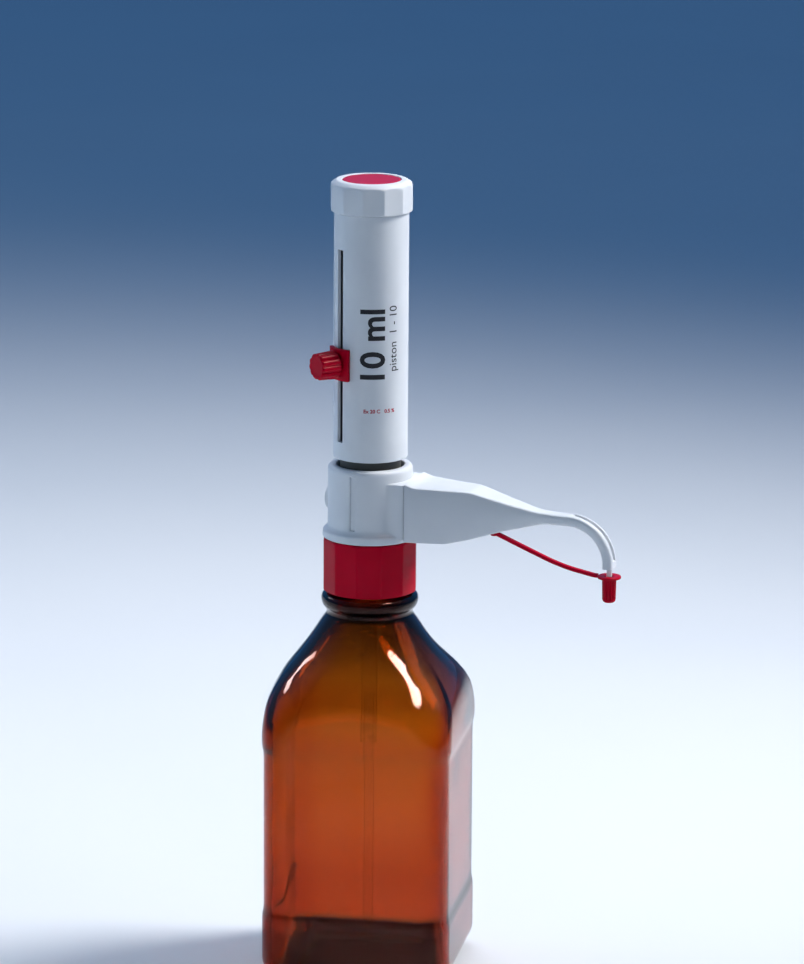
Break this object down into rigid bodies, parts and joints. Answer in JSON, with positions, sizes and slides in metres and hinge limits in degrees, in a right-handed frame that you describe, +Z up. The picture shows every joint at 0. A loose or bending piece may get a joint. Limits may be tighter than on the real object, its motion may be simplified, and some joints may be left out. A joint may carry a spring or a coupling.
{
  "type": "bottle-top dispenser",
  "caption": "Bottle-top piston dispenser with sliding volume selector and curved discharge arm, screwed on a square amber reagent bottle.",
  "frame": {"origin": "centre of the face that the bottle stands on", "axes": "+Z up the bottle's axis, +X along the discharge arm"},
  "size_m": [0.1502, 0.0868, 0.3286],
  "materials": {
    "amber_glass": "clear polished glass",
    "clear_glass": "clear polished glass",
    "clear_tube": "translucent fluoropolymer",
    "white_plastic": "satin moulded",
    "red_plastic": "semi-gloss moulded",
    "dark_plastic": "satin",
    "fluoropolymer": "waxy",
    "ceramic": "polished ceramic",
    "steel": "ground",
    "washer_rubber": "matte"
  },
  "bodies": {
    "bottle": {"bottle": "amber_glass"},
    "seal": {"seal_washer": "washer_rubber"},
    "collar": {"screw_collar": "red_plastic"},
    "head": {"valve_block": "white_plastic", "valve_body": "fluoropolymer", "filling_valve_seat": "fluoropolymer", "suction_nozzle": "fluoropolymer", "filling_tube_upper": "clear_tube", "guide_tube": "dark_plastic", "guide_stop_ring": "dark_plastic", "glass_cylinder": "clear_glass", "cylinder_seal_ring": "fluoropolymer", "cylinder_retainer": "fluoropolymer", "discharge_arm": "white_plastic", "outlet_nipple": "fluoropolymer", "discharge_valve_seat": "fluoropolymer", "discharge_spring": "steel", "discharge_nut": "white_plastic", "discharge_tube": "clear_tube", "strap_anchor": "red_plastic", "cap_strap": "red_plastic", "collar_retaining_ring": "white_plastic"},
    "filling_valve_ball": {"filling_ball": "ceramic"},
    "lower_tube": {"filling_tube_lower": "clear_tube"},
    "discharge_valve_ball": {"discharge_ball": "ceramic"},
    "vent_plug": {"vent_cap": "white_plastic"},
    "closure": {"closure_cap": "red_plastic"},
    "piston_unit": {"outer_sleeve": "white_plastic", "head_cap": "white_plastic", "cap_insert": "red_plastic", "piston_mount": "dark_plastic", "mount_screw": "steel", "piston_rod": "steel", "piston_head": "fluoropolymer", "piston_seal_ring": "fluoropolymer"},
    "selector": {"selector_carriage": "red_plastic"},
    "clamp": {"clamp_nut": "dark_plastic"},
    "thumbscrew": {"threaded_stud": "steel", "selector_knob": "red_plastic"}
  },
  "joints": [
    {"name": "collar_lift", "type": "slide", "parent": "bottle", "child": "seal", "axis": [0, 0, 1], "range_m": [0, 0.008]},
    {"name": "collar_turn", "type": "hinge", "parent": "seal", "child": "collar", "pos_m": [0, 0, 0.17], "axis": [0, 0, 1], "range_deg": [0, 720]},
    {"name": "head_swivel", "type": "hinge", "parent": "seal", "child": "head", "pos_m": [0, 0, 0.18], "axis": [0, 0, 1], "continuous": true},
    {"name": "piston_stroke", "type": "slide", "parent": "head", "child": "piston_unit", "axis": [0, 0, 1], "range_m": [0, 0.0628]},
    {"name": "selector_slide", "type": "slide", "parent": "piston_unit", "child": "selector", "axis": [0, 0, 1], "range_m": [-0.0246, 0.0319]},
    {"name": "thumbscrew_turn", "type": "hinge", "parent": "selector", "child": "thumbscrew", "pos_m": [0, 0, 0.2548], "axis": [-0.5736, -0.8192, 0], "range_deg": [0, 180]},
    {"name": "clamp_nut_travel", "type": "slide", "parent": "selector", "child": "clamp", "axis": [0.5736, 0.8192, 0], "range_m": [0, 0.00035]},
    {"name": "cap_pull", "type": "slide", "parent": "head", "child": "closure", "axis": [0, 0, -1], "range_m": [0, 0.014], "deforming": ["cap_strap"]},
    {"name": "filling_ball_lift", "type": "slide", "parent": "head", "child": "filling_valve_ball", "axis": [0, 0, 1], "range_m": [0, 0.0012]},
    {"name": "discharge_ball_lift", "type": "slide", "parent": "head", "child": "discharge_valve_ball", "axis": [1, 0, 0], "range_m": [0, 0.001], "stiffness_N_per_m": 40, "springref_m": -0.002, "deforming": ["discharge_spring"]},
    {"name": "filling_tube_telescope", "type": "slide", "parent": "head", "child": "lower_tube", "axis": [0, 0, 1], "range_m": [-0.004, 0.045]},
    {"name": "vent_cap_pull", "type": "slide", "parent": "head", "child": "vent_plug", "axis": [-1, 0, 0], "range_m": [0, 0.005]}
  ],
  "couplings": [
    {"joint": "collar_turn", "follows": "collar_lift", "rad_per_m": 1570.8},
    {"joint": "thumbscrew_turn", "follows": "clamp_nut_travel", "rad_per_m": 8975.9}
  ]
}
